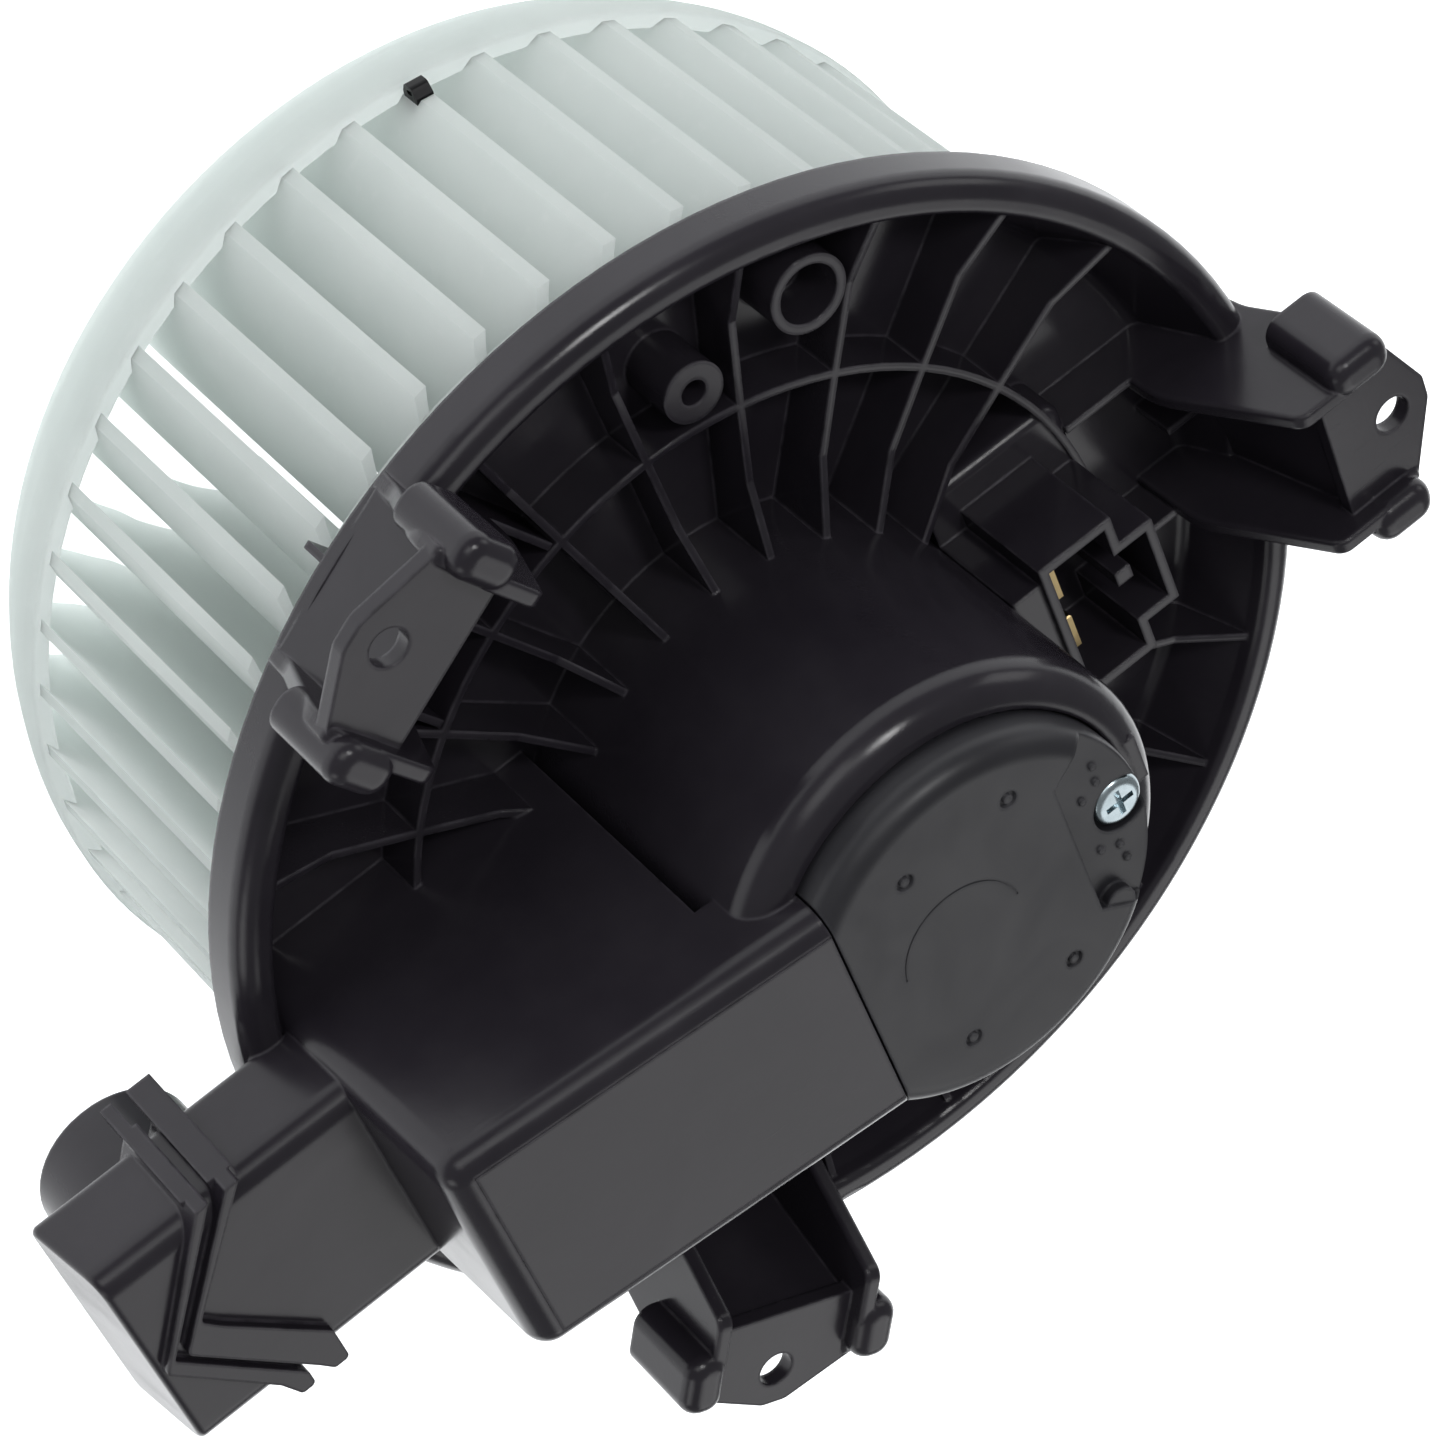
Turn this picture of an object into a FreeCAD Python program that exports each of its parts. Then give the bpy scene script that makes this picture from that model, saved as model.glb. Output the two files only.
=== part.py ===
"""Vehicle heater blower: a bladed wheel on a motor, held in a flanged housing with a cooling duct.

Frame: +Z along the motor axis from the wheel to the cap, +X along the cooling duct's snorkel.
Heights in this file are measured from the flange's rear edge; every piece is lowered by SEAT_UP
on export, so that the origin is on the motor axis in the plane of the three ear seats.
"""
import FreeCAD, Part
import os
from math import acos, atan2, cos, hypot, radians, sin, sqrt, tan

V = FreeCAD.Vector
UP = V(0, 0, 1)

# ---- driving dimensions, millimetres ----
SEAT_UP = 22.5            # ear seat plane above the flange's rear edge

RIM_R = 86.0              # flange rim, outer
RIM_INNER_R = 80.5
RIM_TOP = 8.0
FLOOR_TOP = -5.0          # recessed floor of the flange
FLOOR_THICK = 2.2
FLOOR_EDGE_R = 76.0
RIB_THICK = 1.1
RIB_PITCH = 15.0          # degrees
RING_RIB_R = 56.6
RING_RIB_TOP = 3.0

TOWER_R = 34.0            # motor tower, outer
TOWER_BORE = 31.5
TOWER_LIP_R = 27.6        # inward lip under the lower isolator
TOWER_BOTTOM = -18.0
SHOULDER_TOP = 44.5
CAP_BORE = 28.5           # opening at the top of the tower
CAP_SEAT = 38.0

CAP_R = 28.3
CAP_TOP = 50.5
CAP_WALL = 2.0
CAP_CHORD_X = 19.1        # the cap is cut off flat against the duct box here
POCKET_FLOOR = 48.5       # recess round the cap's screw
SCREW_X = -24.6
SCREW_R = 1.6
SCREW_HEAD_R = 3.9
SCREW_HEAD_LOW = 46.6
SCREW_HEAD_HIGH = 48.4

DUCT_HALF = 20.6          # cooling duct box, half width
DUCT_WALL = 2.0
DUCT_END_TOP_X = 77.0
DUCT_END_LOW_X = 79.0
DUCT_END_TOP = 45.0
NOZZLE_END_X = 117.4      # at the top edge
NOZZLE_END_SLANT = 2.0    # the end face leans out by this much at the bottom
NOZZLE_HALF = 18.8
NOZZLE_TOP = 22.4
NOZZLE_BOTTOM = 6.2
SPIGOT_X = 103.5          # round air mouth under the snorkel
SPIGOT_R = 11.6
SPIGOT_WALL = 1.8
SPIGOT_LOW = -10.8

EAR_ANGLES = (60, 180, -60)
EAR_HOLE_R = 2.8
EAR_HOLE_AT = 92.3
EAR_THICK = 2.5
EAR_SIDE = 14.0           # side walls of an ear, from its middle plane to their outer faces
EAR_WALL = 2.5

SMALL_BOSS = (63.3, -98.4, 4.5, 1.9)      # distance out, angle, outer radius, hole radius
LARGE_BOSS = (70.4, -114.1, 5.8, 4.4)
BOSS_TOP = 4.0

SOCKET_X = (-50.0, -37.5)
SOCKET_HALF = 13.3
SOCKET_TOP = 20.0
SOCKET_WALL = 1.4
SOCKET_FLOOR = 6.0
LATCH_X = -55.6
LATCH_HALF = 8.0

BLADES = 47
BLADE_TIP_R = 78.0
BLADE_THICK = 1.2
BLADE_ARC_R = 24.5        # mid-line radius of a blade
BLADE_ARC_AT = (58.3, -14.6)   # centre of that arc, blade tip on the local x axis
BLADE_INNER_R = 48.0
RING_OUT_R = 79.0
RING_TOP = -60.3
WHEEL_BOTTOM = -77.5

CAN_R = 27.0
CAN_WALL = 1.5
CAN_BOTTOM = -26.0
SHAFT_R = 3.0
SHAFT_LOW = -50.0
SHAFT_HIGH = 40.8
BUSH_BORE = 3.03
BUSH_R = 7.0
ARMATURE_R = 19.0
CORE_LOW = -13.0
CORE_HIGH = 12.0
MAGNET_INNER_R = 19.8


# ---- drawing helpers ----
def section(a, b):
    """Point of a radial section: distance out, height."""
    return V(a, 0, b)


def plan(height):
    """Mapping for a plan outline at one height."""
    return lambda a, b: V(a, b, height)


def outline(points, plane):
    """Closed wire through corner points (a, b) or (a, b, corner radius)."""
    corners = [plane(p[0], p[1]) for p in points]
    spans = []
    for i, p in enumerate(points):
        here = corners[i]
        if len(p) < 3 or p[2] <= 0:
            spans.append((here, None, here))
            continue
        back = (corners[i - 1] - here).normalize()
        ahead = (corners[(i + 1) % len(points)] - here).normalize()
        half = back.getAngle(ahead) / 2
        inward = (back + ahead).normalize()
        centre = here + inward * (p[2] / sin(half))
        run = p[2] / tan(half)
        spans.append((here + back * run, centre - inward * p[2], here + ahead * run))
    edges = []
    for i, (start, middle, end) in enumerate(spans):
        before = spans[i - 1][2]
        if before.distanceToPoint(start) > 1e-6:
            edges.append(Part.LineSegment(before, start).toShape())
        if middle is not None:
            edges.append(Part.Arc(start, middle, end).toShape())
    return Part.Wire(Part.__sortEdges__(edges))


def turned(points):
    """Solid of revolution about the motor axis from a radial section."""
    return Part.Face(outline(points, section)).revolve(V(0, 0, 0), UP, 360)


def slab(points, low, high):
    """Upright prism with a plan outline."""
    return Part.Face(outline(points, plan(low))).extrude(V(0, 0, high - low))


def across(points, y_low, y_high):
    """Prism with an x-z outline that runs along Y."""
    face = Part.Face(outline(points, lambda a, b: V(a, y_low, b)))
    return face.extrude(V(0, y_high - y_low, 0))


def along(points, x_low, x_high):
    """Prism with a y-z outline that runs along X."""
    face = Part.Face(outline(points, lambda a, b: V(x_low, a, b)))
    return face.extrude(V(x_high - x_low, 0, 0))


def block(x0, x1, y0, y1, z0, z1):
    """Box between two corners."""
    return Part.makeBox(x1 - x0, y1 - y0, z1 - z0, V(x0, y0, z0))


def drum(radius, low, high, x=0.0, y=0.0):
    """Upright cylinder."""
    return Part.makeCylinder(radius, high - low, V(x, y, low))


def spun(shape, angle):
    """Copy turned about the motor axis, degrees."""
    copy = shape.copy()
    copy.rotate(V(0, 0, 0), UP, angle)
    return copy


def mirrored(shape):
    """Copy on the other side of the x-z plane."""
    return shape.mirror(V(0, 0, 0), V(0, 1, 0))


def joined(shapes):
    """One solid from overlapping or touching solids."""
    return shapes[0].fuse(shapes[1:]).removeSplitter()


def placed(distance, angle):
    """Plan position from distance out and angle."""
    return distance * cos(radians(angle)), distance * sin(radians(angle))


# ---- flange housing ----
def dish():
    """Rounded rim with a down-turned lip, slanting wall and ribbed recess floor."""
    under = FLOOR_TOP - FLOOR_THICK
    profile = [(RIM_R, 0), (RIM_R, RIM_TOP, 3.0), (RIM_INNER_R + 0.4, RIM_TOP, 1.2), (RIM_INNER_R - 0.2, 5.5),
               (FLOOR_EDGE_R, FLOOR_TOP, 2.0), (TOWER_BORE, FLOOR_TOP), (TOWER_BORE, under),
               (FLOOR_EDGE_R + 0.8, under, 2.0), (82.0, 4.2, 0.8), (RIM_R - 2.2, 5.0, 0.8), (RIM_R - 2.2, 0)]
    return turned(profile)


def ribs():
    """Radial ribs of the recess, short of the duct, the socket and the ears."""
    low = FLOOR_TOP - 1.0
    long_rib = [(33.2, low), (33.2, 7.0), (44.5, 3.3), (56.8, RING_RIB_TOP), (69.8, RING_RIB_TOP),
                (80.4, 6.4), (76.4, low)]
    short_rib = [(33.2, low), (33.2, 7.0), (44.5, 3.3), (56.8, RING_RIB_TOP), (64.0, RING_RIB_TOP), (68.0, low)]
    shapes = []
    for step in range(2, 11):
        angle = step * RIB_PITCH
        for side in (angle, -angle):
            profile = short_rib if side in EAR_ANGLES else long_rib
            shapes.append(spun(across(profile, -RIB_THICK / 2, RIB_THICK / 2), side))
    ring = drum(RING_RIB_R + RIB_THICK / 2, low, RING_RIB_TOP)
    shapes.append(ring.cut(drum(RING_RIB_R - RIB_THICK / 2, low - 1, RING_RIB_TOP + 1)))
    return shapes


def tower():
    """Tube round the motor with an inward lip below and a rounded shoulder on top."""
    profile = [(TOWER_R, TOWER_BOTTOM, 1.0), (TOWER_R, SHOULDER_TOP, 4.9), (CAP_BORE, SHOULDER_TOP, 0.5),
               (CAP_BORE, CAP_SEAT), (TOWER_BORE, CAP_SEAT - 1.5), (TOWER_BORE, TOWER_BOTTOM + 2),
               (TOWER_LIP_R, TOWER_BOTTOM + 2), (TOWER_LIP_R, TOWER_BOTTOM)]
    return turned(profile)


def screw_boss():
    """Lug inside the tower's mouth that takes the cap's screw."""
    lug = drum(4.0, CAP_SEAT + 1, SHOULDER_TOP - 0.1, SCREW_X).fuse(
        block(-31.5, SCREW_X, -4.0, 4.0, CAP_SEAT + 1, SHOULDER_TOP - 0.1))
    return lug.cut(drum(SCREW_R, CAP_SEAT, SHOULDER_TOP + 1, SCREW_X))


def ear():
    """Mounting ear on the +X side: seat plate, two cheeks, back wall and two rounded posts."""
    plate = slab([(82.0, -EAR_SIDE), (93.2, -EAR_SIDE, 2.0), (98.4, -1.5, 2.5), (98.4, 2.5, 2.5),
                  (93.2, EAR_SIDE, 2.0), (82.0, EAR_SIDE)], SEAT_UP, SEAT_UP + EAR_THICK)
    plate = plate.cut(drum(EAR_HOLE_R, SEAT_UP - 1, SEAT_UP + EAR_THICK + 1, EAR_HOLE_AT))
    cheek_side = [(67.0, FLOOR_TOP - 1), (67.4, 8.0, 14.0), (77.4, 28.0, 2.5), (86.0, 28.0, 3.0),
                  (94.0, 25.0, 1.0), (93.2, 19.0, 12.0), (86.4, 5.0, 8.0), (85.7, 0.8), (77.0, FLOOR_TOP - 1)]
    cheek = across(cheek_side, EAR_SIDE - EAR_WALL, EAR_SIDE)
    cheek = cheek.makeFillet(0.6, [e for e in cheek.Edges if e.BoundBox.YLength < 0.01 and e.BoundBox.ZMax > 10])
    post = slab([(83.2, 11.4, 2.9), (93.2, 11.4, 2.9), (93.2, 18.0, 2.9), (83.2, 18.0, 2.9)], 14.0, 28.8)
    post = post.makeFillet(2.4, [e for e in post.Edges if e.BoundBox.ZMin > 28.7])
    back = across([(78.4, 1.0), (83.3, SEAT_UP + 1, 1.0), (85.8, SEAT_UP + 1), (85.8, 1.5)],
                  0.5 - EAR_SIDE, EAR_SIDE - 0.5)
    rail = block(56.0, 68.0, EAR_SIDE - RIB_THICK, EAR_SIDE, FLOOR_TOP - 1, RING_RIB_TOP)
    stiffener = block(70.5, 84.0, -RIB_THICK / 2, RIB_THICK / 2, FLOOR_TOP - 1, 2.5)
    halves = [cheek, mirrored(cheek), post, mirrored(post), rail, mirrored(rail)]
    return [plate, back, stiffener] + halves


def ear_channel():
    """Space between the cheeks where the rim's rounded edge is left out."""
    return across([(77.0, 2.5), (86.5, 2.5), (86.5, RIM_TOP + 1), (77.0, RIM_TOP + 1)],
                  EAR_WALL - EAR_SIDE, EAR_SIDE - EAR_WALL)


def hollow_boss(distance, angle, outer, hole):
    """Round boss on the recess floor with a blind hole; returned as boss and hole."""
    x, y = placed(distance, angle)
    return drum(outer, FLOOR_TOP - 1, BOSS_TOP, x, y), drum(hole, FLOOR_TOP + 1, BOSS_TOP + 1, x, y)


def socket():
    """Connector shroud beside the tower, with its latch tunnel, on a wider rounded base."""
    near, far = SOCKET_X[1], SOCKET_X[0]
    base = slab([(-56.5, -19.0, 3.0), (-32.8, -19.0), (-32.8, 19.0), (-56.5, 19.0, 3.0)], FLOOR_TOP - 1, 2.5)
    base = base.makeFillet(1.5, [e for e in base.Edges if e.BoundBox.ZMin > 2.4 and e.BoundBox.XMax < -33])
    shroud = block(far, near, -SOCKET_HALF, SOCKET_HALF, 0, SOCKET_TOP)
    latch = block(LATCH_X, far + SOCKET_WALL, -LATCH_HALF, LATCH_HALF, 0, SOCKET_TOP)
    web = block(near - 1, -32.8, -10.0, 10.0, 0, SOCKET_TOP - 1)
    top = SOCKET_TOP + 1
    room = block(far + SOCKET_WALL, near - SOCKET_WALL, SOCKET_WALL - SOCKET_HALF, SOCKET_HALF - SOCKET_WALL,
                 SOCKET_FLOOR, top)
    latch_room = block(LATCH_X + SOCKET_WALL, far + 2 * SOCKET_WALL, SOCKET_WALL - LATCH_HALF,
                       LATCH_HALF - SOCKET_WALL, SOCKET_FLOOR, top)
    key = block(far - 1.2, far + SOCKET_WALL, -1.2, 1.2, SOCKET_FLOOR - 1, SOCKET_TOP - 2)
    return [base, shroud, latch, web], [room, latch_room], key


# ---- cooling duct ----
def duct_top(x):
    """Height of the duct box's sloping top."""
    slope = (CAP_TOP - DUCT_END_TOP) / (DUCT_END_TOP_X - CAP_CHORD_X)
    return CAP_TOP - slope * (x - CAP_CHORD_X)


SEAM_X = CAP_CHORD_X + 0.3
LID_HALF = 17.2
LID_END_X = 73.2
LID_THICK = 1.6
LID_GAP = 0.05
LEDGE = 1.4


def duct_outside():
    """Solid outer form of the duct box, its edges rounded."""
    box = across([(SEAM_X, CAP_SEAT - 2), (SEAM_X, duct_top(SEAM_X)), (DUCT_END_TOP_X, DUCT_END_TOP),
                  (DUCT_END_LOW_X, FLOOR_TOP - 1), (30.0, FLOOR_TOP - 1), (30.0, CAP_SEAT - 2)],
                 -DUCT_HALF, DUCT_HALF)
    rounded = [e for e in box.Edges if e.BoundBox.ZMin > DUCT_END_TOP - 0.1 and e.BoundBox.XMax > 60]
    rounded += [e for e in box.Edges if e.BoundBox.XMin > 60 and e.BoundBox.ZLength > 40]
    return box.makeFillet(3.8, rounded)


def duct_inside():
    """Air space of the duct box: down to the floor beside the tower, and over the motor's top."""
    half = DUCT_HALF - DUCT_WALL
    roof = LID_THICK + LEDGE
    over = across([(SEAM_X - 1, CAP_SEAT), (SEAM_X - 1, duct_top(SEAM_X) - roof),
                   (DUCT_END_TOP_X - DUCT_WALL, DUCT_END_TOP - roof),
                   (DUCT_END_TOP_X - DUCT_WALL + 0.3, CAP_SEAT)], -half, half)
    beside = across([(26.0, CAP_SEAT + 1), (DUCT_END_TOP_X - DUCT_WALL + 0.3, CAP_SEAT + 1),
                     (DUCT_END_LOW_X - DUCT_WALL - 0.2, FLOOR_TOP), (26.0, FLOOR_TOP)], -half, half)
    return over.fuse(beside.cut(drum(TOWER_R, FLOOR_TOP - 1, CAP_SEAT + 2)))


def lid_plate(grow, thick):
    """Sloping plate under the duct's top face, from the cap's seam to near the end wall."""
    start = SEAM_X + LID_GAP - 2 * grow
    end = LID_END_X + grow
    half = LID_HALF + grow
    return across([(start, duct_top(start)), (end, duct_top(end)), (end, duct_top(end) - thick),
                   (start, duct_top(start) - thick)], -half, half)


def lid_openings():
    """Sunk seat for the duct's lid and the opening inside its ledge."""
    seat = lid_plate(LID_GAP, LID_THICK)
    head = slab([(SEAM_X - 2, -LID_HALF - LID_GAP), (LID_END_X + LID_GAP, -LID_HALF - LID_GAP),
                 (LID_END_X + LID_GAP, LID_HALF + LID_GAP), (SEAM_X - 2, LID_HALF + LID_GAP)],
                DUCT_END_TOP, CAP_TOP + 2)
    above = head.cut(across([(0, 0), (0, duct_top(0) - 0.01), (120, duct_top(120) - 0.01), (120, 0)], -40, 40))
    hole = slab([(SEAM_X + 2.5, -LID_HALF + 1.8, 2.0), (LID_END_X - 1.8, -LID_HALF + 1.8, 2.0),
                 (LID_END_X - 1.8, LID_HALF - 1.8, 2.0), (SEAM_X + 2.5, LID_HALF - 1.8, 2.0)],
                CAP_SEAT + 2, CAP_TOP + 2)
    return [seat, above, hole]


def nozzle_outside():
    """Snorkel that carries the air in from the side, closed at its end, with a round mouth below."""
    body = along([(-NOZZLE_HALF, NOZZLE_BOTTOM, 2.0), (NOZZLE_HALF, NOZZLE_BOTTOM, 2.0),
                  (NOZZLE_HALF, NOZZLE_TOP, 3.5), (-NOZZLE_HALF, NOZZLE_TOP, 3.5)],
                 DUCT_END_TOP_X, NOZZLE_END_X + 10)
    slant = NOZZLE_END_SLANT / (NOZZLE_TOP - NOZZLE_BOTTOM)
    top, low = NOZZLE_END_X - 10 * slant, NOZZLE_END_X + NOZZLE_END_SLANT + 10 * slant
    body = body.cut(across([(top, NOZZLE_TOP + 10), (140, NOZZLE_TOP + 10), (140, NOZZLE_BOTTOM - 10),
                            (low, NOZZLE_BOTTOM - 10)], -30, 30))
    body = body.makeFillet(1.0, [e for e in body.Edges if e.BoundBox.XMin > NOZZLE_END_X - 1])
    spigot = drum(SPIGOT_R, SPIGOT_LOW, NOZZLE_BOTTOM + 1, SPIGOT_X)
    lip = [e for e in spigot.Edges if e.BoundBox.ZMax < SPIGOT_LOW + 0.1]
    return body.fuse(spigot.makeFillet(0.7, lip))


def chevrons():
    """Two sealing ridges round the snorkel that point towards its end; the inner one is wider on +Y."""
    low, high = NOZZLE_BOTTOM - 0.8, NOZZLE_TOP + 1.5
    side = NOZZLE_HALF + 1.6
    inner = slab([(95.4, -side), (109.3, -3.2, 1.0), (106.8, 0.4, 1.5), (95.6, 14.3, 0.6), (95.6, side, 0.8),
                  (98.0, side, 0.8), (99.6, 18.0, 0.8), (113.0, 0.2, 1.0), (97.5, -side)], low, high)
    outer = slab([(100.2, -side), (114.8, -0.4, 0.5), (101.2, 17.8, 0.8), (101.2, side, 0.8),
                  (103.4, side, 0.8), (105.2, 16.4, 0.8), (116.6, 0.8, 0.8), (102.2, -side)], low, high)
    return [inner, outer]


def collars():
    """The sealing ridges with their deeper webs down the snorkel's -Y side."""
    side = NOZZLE_HALF + 1.6
    inner_web = block(94.8, 98.6, -side, -NOZZLE_HALF + 1.0, -0.2, 21.0)
    outer_web = block(101.0, 102.8, -side, -NOZZLE_HALF + 1.0, -0.2, 21.0)
    return chevrons() + [inner_web, outer_web]


def nozzle_inside():
    """Air space of the snorkel and its round mouth."""
    room = block(DUCT_END_TOP_X - 3, NOZZLE_END_X - DUCT_WALL, DUCT_WALL - NOZZLE_HALF, NOZZLE_HALF - DUCT_WALL,
                 NOZZLE_BOTTOM + DUCT_WALL, NOZZLE_TOP - DUCT_WALL)
    mouth = drum(SPIGOT_R - SPIGOT_WALL, SPIGOT_LOW - 1, NOZZLE_BOTTOM + DUCT_WALL + 1, SPIGOT_X)
    return [room, mouth]


def flange_housing(inserts):
    """The whole black moulding, with the terminals and leads let into it."""
    solid = dish()
    solid = solid.cut([spun(ear_channel(), angle) for angle in EAR_ANGLES])
    parts = ribs() + [tower()]
    for angle in EAR_ANGLES:
        parts += [spun(shape, angle) for shape in ear()]
    holes = []
    for boss in (SMALL_BOSS, LARGE_BOSS):
        body, hole = hollow_boss(*boss)
        parts.append(body)
        holes.append(hole)
    shroud, rooms, key = socket()
    parts += shroud + [duct_outside(), nozzle_outside()] + collars()
    solid = solid.fuse(parts)
    bay = drum(TOWER_BORE, TOWER_BOTTOM + 2, CAP_SEAT - 1.5)
    mouth = drum(CAP_BORE, CAP_SEAT - 2, SHOULDER_TOP + 1).cut(block(SEAM_X, 40, -40, 40, 0, 60))
    solid = solid.cut(holes + rooms + [bay, mouth, duct_inside()] + lid_openings() + nozzle_inside())
    solid = solid.fuse([key, screw_boss()])
    return solid.cut(inserts).removeSplitter()


# ---- cap, lid and small fittings ----
def motor_cap():
    """Round cover, cut off flat at the duct, with a sunk pocket for its screw."""
    inner = CAP_R - CAP_WALL
    cap = turned([(inner, CAP_SEAT), (CAP_R, CAP_SEAT), (CAP_R, CAP_TOP, 3.5), (0, CAP_TOP),
                  (0, CAP_TOP - CAP_WALL), (inner, CAP_TOP - CAP_WALL, 1.5)])
    pocket_plan = [(-15.9, -12.5), (-15.9, 12.5), (-21.4, 16.3, 1.5), (-32.0, 16.3), (-32.0, -16.3),
                   (-21.4, -16.3, 1.5)]
    cap = cap.cut(slab(pocket_plan, POCKET_FLOOR, CAP_TOP + 1))
    floor_plan = [(-13.9, -13.5), (-13.9, 13.5), (-20.4, 18.3), (-32.0, 18.3), (-32.0, -18.3), (-20.4, -18.3)]
    floor = slab(floor_plan, POCKET_FLOOR - CAP_WALL, POCKET_FLOOR).common(drum(CAP_R - 0.4, 40, CAP_TOP))
    boss = drum(5.2, SHOULDER_TOP, POCKET_FLOOR, SCREW_X).common(drum(CAP_R - 0.4, 40, CAP_TOP))
    dots = [drum(0.55, POCKET_FLOOR - 0.5, POCKET_FLOOR + 0.4, x, side * y)
            for x, y in ((-22.7, 9.45), (-22.4, 6.6), (-19.6, 5.1)) for side in (-1, 1)]
    knob = drum(2.3, POCKET_FLOOR - 1, CAP_TOP - 0.3, -18.9, 14.3)
    cap = cap.fuse([floor, boss, knob] + dots)
    counterbore = drum(SCREW_HEAD_R + 0.5, SCREW_HEAD_LOW, CAP_TOP, SCREW_X)
    clearance = drum(SCREW_R + 0.2, 30, CAP_TOP, SCREW_X)
    notch = block(-30.0, -18.0, -4.6, 4.6, CAP_SEAT - 1, SHOULDER_TOP)
    beyond_chord = block(CAP_CHORD_X, 40, -40, 40, 30, 60)
    dimples = []
    for x, y in ((-9.6, 17.0), (-9.6, -17.0), (7.6, 16.7), (7.6, -16.7)):
        dimples.append(drum(1.3, CAP_TOP - 0.5, CAP_TOP + 1, x, y).cut(drum(0.7, 40, 60, x, y)))
    witness = drum(9.5, CAP_TOP - 0.12, CAP_TOP + 1, 3.5).cut(drum(9.25, 40, 60, 3.5))
    witness = witness.common(block(-9.0, 14.0, -12.0, -1.0, 40, 60))
    return cap.cut([counterbore, clearance, notch, beyond_chord, witness] + dimples)


def duct_lid():
    """Sloping plate let flush into the top of the duct box."""
    return lid_plate(0.0, LID_THICK)


def cap_screw():
    """Pan-head screw with a cross recess."""
    low, high = SCREW_HEAD_LOW, SCREW_HEAD_HIGH
    head = Part.Face(outline([(0, low), (SCREW_HEAD_R, low), (SCREW_HEAD_R, high, 1.3), (0, high)], section))
    head = head.revolve(V(0, 0, 0), UP, 360)
    head.translate(V(SCREW_X, 0, 0))
    shank = drum(SCREW_R, CAP_SEAT + 2, low, SCREW_X)
    cross = [block(SCREW_X - 2.2, SCREW_X + 2.2, -0.45, 0.45, high - 1.1, high + 1),
             block(SCREW_X - 0.45, SCREW_X + 0.45, -2.2, 2.2, high - 1.1, high + 1)]
    return head.fuse(shank).cut(cross)


BLADE_Y = 5.0             # the two terminals, each side of the middle
TERMINAL_X = -41.0
LEAD_R = 1.0
LEAD_X = -29.3            # leads rise here, between can and tower
LEAD_LOW = 0.5
LEAD_HIGH = 26.0
LEAD_END_X = -23.0
LEAD_BEND = 2.0


def connector_terminals():
    """Two flat brass blades."""
    blades = []
    for side in (-1, 1):
        blade = block(TERMINAL_X - 0.4, TERMINAL_X + 0.4, side * BLADE_Y - 3.1, side * BLADE_Y + 3.1, -1.5, 16.0)
        tips = [e for e in blade.Edges if e.BoundBox.ZMin > 15.9 and e.BoundBox.YLength < 0.01]
        tips += [e for e in blade.Edges if e.BoundBox.ZLength > 10]
        blades.append(blade.makeChamfer(0.2, tips))
    return Part.makeCompound(blades)


def motor_leads():
    """Two leads: in through the tower's wall, up beside the can, and in to the brush card."""
    leads = []
    for side in (-1, 1):
        y = side * BLADE_Y
        start, low = V(TERMINAL_X + 0.4, y, LEAD_LOW), V(LEAD_X, y, LEAD_LOW)
        high, end = V(LEAD_X, y, LEAD_HIGH), V(LEAD_END_X, y, LEAD_HIGH)
        bend = LEAD_BEND * (1 - sqrt(0.5))
        path = Part.Wire([
            Part.LineSegment(start, low - V(LEAD_BEND, 0, 0)).toShape(),
            Part.Arc(low - V(LEAD_BEND, 0, 0), low + V(-bend, 0, bend), low + V(0, 0, LEAD_BEND)).toShape(),
            Part.LineSegment(low + V(0, 0, LEAD_BEND), high - V(0, 0, LEAD_BEND)).toShape(),
            Part.Arc(high - V(0, 0, LEAD_BEND), high + V(bend, 0, -bend), high + V(LEAD_BEND, 0, 0)).toShape(),
            Part.LineSegment(high + V(LEAD_BEND, 0, 0), end).toShape()])
        ring = Part.Wire([Part.makeCircle(LEAD_R, start, V(1, 0, 0))])
        leads.append(path.makePipeShell([ring], True, False))
    return Part.makeCompound(leads)


# ---- motor, fixed pieces ----
CARD_LOW = 27.0
CARD_THICK = 2.0
BUSH_LENGTH = 8.0
END_PLATE_LOW = 34.5
COLLAR_R = 8.7            # outer radius of the two bush housings


def air_holes(distance, radius, low, high):
    """Six upright holes round the motor axis."""
    return [drum(radius, low, high, *placed(distance, 60 * i + 30)) for i in range(6)]


def motor_can(leads):
    """Drawn steel can with the lower bush's housing in its closed end."""
    inner = CAN_R - CAN_WALL
    floor = CAN_BOTTOM + CAN_WALL
    can = turned([(inner, END_PLATE_LOW), (CAN_R, END_PLATE_LOW), (CAN_R, CAN_BOTTOM, 3.0),
                  (COLLAR_R, CAN_BOTTOM, 0.6), (COLLAR_R, CAN_BOTTOM - 5, 1.0), (4.5, CAN_BOTTOM - 5),
                  (4.5, CAN_BOTTOM - 3.5), (BUSH_R, CAN_BOTTOM - 3.5), (BUSH_R, floor), (inner, floor, 1.4)])
    return can.cut(air_holes(17.0, 3.2, CAN_BOTTOM - 1, floor + 1) + [leads])


def can_end_plate():
    """Steel plate on the can's open end, with the upper bush's housing."""
    top = END_PLATE_LOW + 7.3
    plate = turned([(BUSH_R, END_PLATE_LOW), (CAN_R, END_PLATE_LOW), (CAN_R, END_PLATE_LOW + CAN_WALL, 0.6),
                    (COLLAR_R, END_PLATE_LOW + CAN_WALL), (COLLAR_R, top + 1.2, 1.2), (0, top + 1.2), (0, top),
                    (BUSH_R, top)])
    return plate.cut(air_holes(17.0, 3.2, END_PLATE_LOW - 1, END_PLATE_LOW + 3))


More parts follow.
